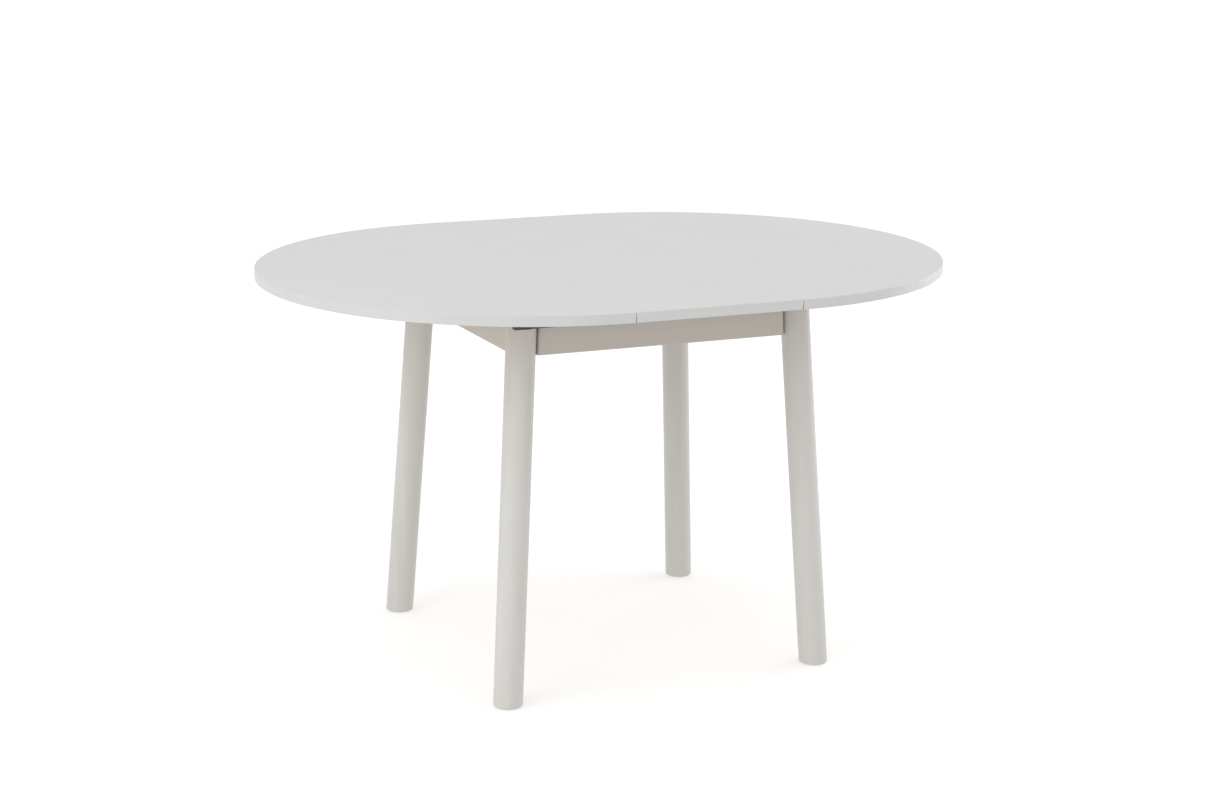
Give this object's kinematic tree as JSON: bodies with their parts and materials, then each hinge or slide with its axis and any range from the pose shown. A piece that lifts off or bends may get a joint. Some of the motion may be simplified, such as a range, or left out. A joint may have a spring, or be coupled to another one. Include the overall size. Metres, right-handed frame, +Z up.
{
  "type": "extendable dining table",
  "caption": "Round dining table with a two-part sliding top on a splayed round-leg frame; a removable leaf turns it into a long rounded oval.",
  "frame": {"origin": "on the floor, under the middle of the table", "axes": "+Z up; X is the way the table extends, with the left half at -X as seen from the front; the front is towards -Y"},
  "size_m": [1.3198, 1, 0.75],
  "materials": {
    "top_paint": "white satin lacquer on board",
    "edge_band": "white satin edging",
    "frame_paint": "warm off-white satin paint on solid wood",
    "inner_wood": "unfinished beech",
    "zinc_steel": "zinc plated",
    "black_rail": "extruded black plastic",
    "glide_nylon": "moulded nylon",
    "post_nylon": "moulded black nylon",
    "gear_nylon": "moulded white nylon"
  },
  "bodies": {
    "frame": {"leg_front_left": "frame_paint", "leg_front_right": "frame_paint", "leg_back_left": "frame_paint", "leg_back_right": "frame_paint", "glide_front_left": "glide_nylon", "glide_front_right": "glide_nylon", "glide_back_left": "glide_nylon", "glide_back_right": "glide_nylon", "apron_front": "frame_paint", "apron_back": "frame_paint", "apron_left": "frame_paint", "apron_right": "frame_paint", "corner_block_front_left": "inner_wood", "corner_block_front_right": "inner_wood", "corner_block_back_left": "inner_wood", "corner_block_back_right": "inner_wood", "hanger_bolts": "zinc_steel", "hanger_washers": "zinc_steel", "hanger_nuts": "zinc_steel", "guide_rail_front": "inner_wood", "guide_rail_back": "inner_wood", "rail_brackets": "zinc_steel", "cross_rail": "inner_wood", "bearing_rail_front": "black_rail", "bearing_rail_back": "black_rail", "bearing_screws_front": "zinc_steel", "bearing_screws_back": "zinc_steel", "gear_post": "post_nylon", "gear_cap": "zinc_steel"},
    "left_top": {"top_left": "top_paint", "edge_band_left": "edge_band", "runner_left_front": "inner_wood", "runner_left_back": "inner_wood", "rack_left": "gear_nylon", "screws_left": "zinc_steel", "latch_plates_left": "zinc_steel"},
    "right_top": {"top_right": "top_paint", "edge_band_right": "edge_band", "runner_right_front": "inner_wood", "runner_right_back": "inner_wood", "rack_right": "gear_nylon", "screws_right": "zinc_steel", "latch_plates_right": "zinc_steel"},
    "leaf": {"leaf_panel": "top_paint", "leaf_band_front": "edge_band", "leaf_band_back": "edge_band", "leaf_locator_front": "inner_wood", "leaf_locator_back": "inner_wood", "latch_pegs": "zinc_steel"},
    "pinion": {"gear": "gear_nylon"},
    "latch_left_front_body": {"latch_left_front": "zinc_steel"},
    "latch_left_back_body": {"latch_left_back": "zinc_steel"},
    "latch_right_front_body": {"latch_right_front": "zinc_steel"},
    "latch_right_back_body": {"latch_right_back": "zinc_steel"}
  },
  "joints": [
    {"name": "leaf_lift", "type": "slide", "parent": "frame", "child": "leaf", "axis": [0, 0, 1], "range_m": [0, 1.438]},
    {"name": "left_top_slide", "type": "slide", "parent": "frame", "child": "left_top", "axis": [1, 0, 0], "range_m": [0, 0.1598]},
    {"name": "right_top_slide", "type": "slide", "parent": "frame", "child": "right_top", "axis": [-1, 0, 0], "range_m": [0, 0.1598]},
    {"name": "pinion_spin", "type": "hinge", "parent": "frame", "child": "pinion", "pos_m": [0, 0, 0.72], "axis": [0, 0, 1], "range_deg": [0, 306]},
    {"name": "latch_turn_left_front", "type": "hinge", "parent": "left_top", "child": "latch_left_front_body", "pos_m": [-0.182, -0.3, 0.726], "axis": [0, 0, -1], "range_deg": [0, 80]},
    {"name": "latch_turn_left_back", "type": "hinge", "parent": "left_top", "child": "latch_left_back_body", "pos_m": [-0.182, 0.38, 0.726], "axis": [0, 0, 1], "range_deg": [0, 80]},
    {"name": "latch_turn_right_front", "type": "hinge", "parent": "right_top", "child": "latch_right_front_body", "pos_m": [0.182, -0.38, 0.726], "axis": [0, 0, 1], "range_deg": [0, 80]},
    {"name": "latch_turn_right_back", "type": "hinge", "parent": "right_top", "child": "latch_right_back_body", "pos_m": [0.182, 0.3, 0.726], "axis": [0, 0, -1], "range_deg": [0, 80]}
  ],
  "couplings": [
    {"joint": "left_top_slide", "follows": "leaf_lift", "ratio": 0.11111},
    {"joint": "right_top_slide", "follows": "leaf_lift", "ratio": 0.11111},
    {"joint": "pinion_spin", "follows": "leaf_lift", "rad_per_m": 3.7037}
  ]
}
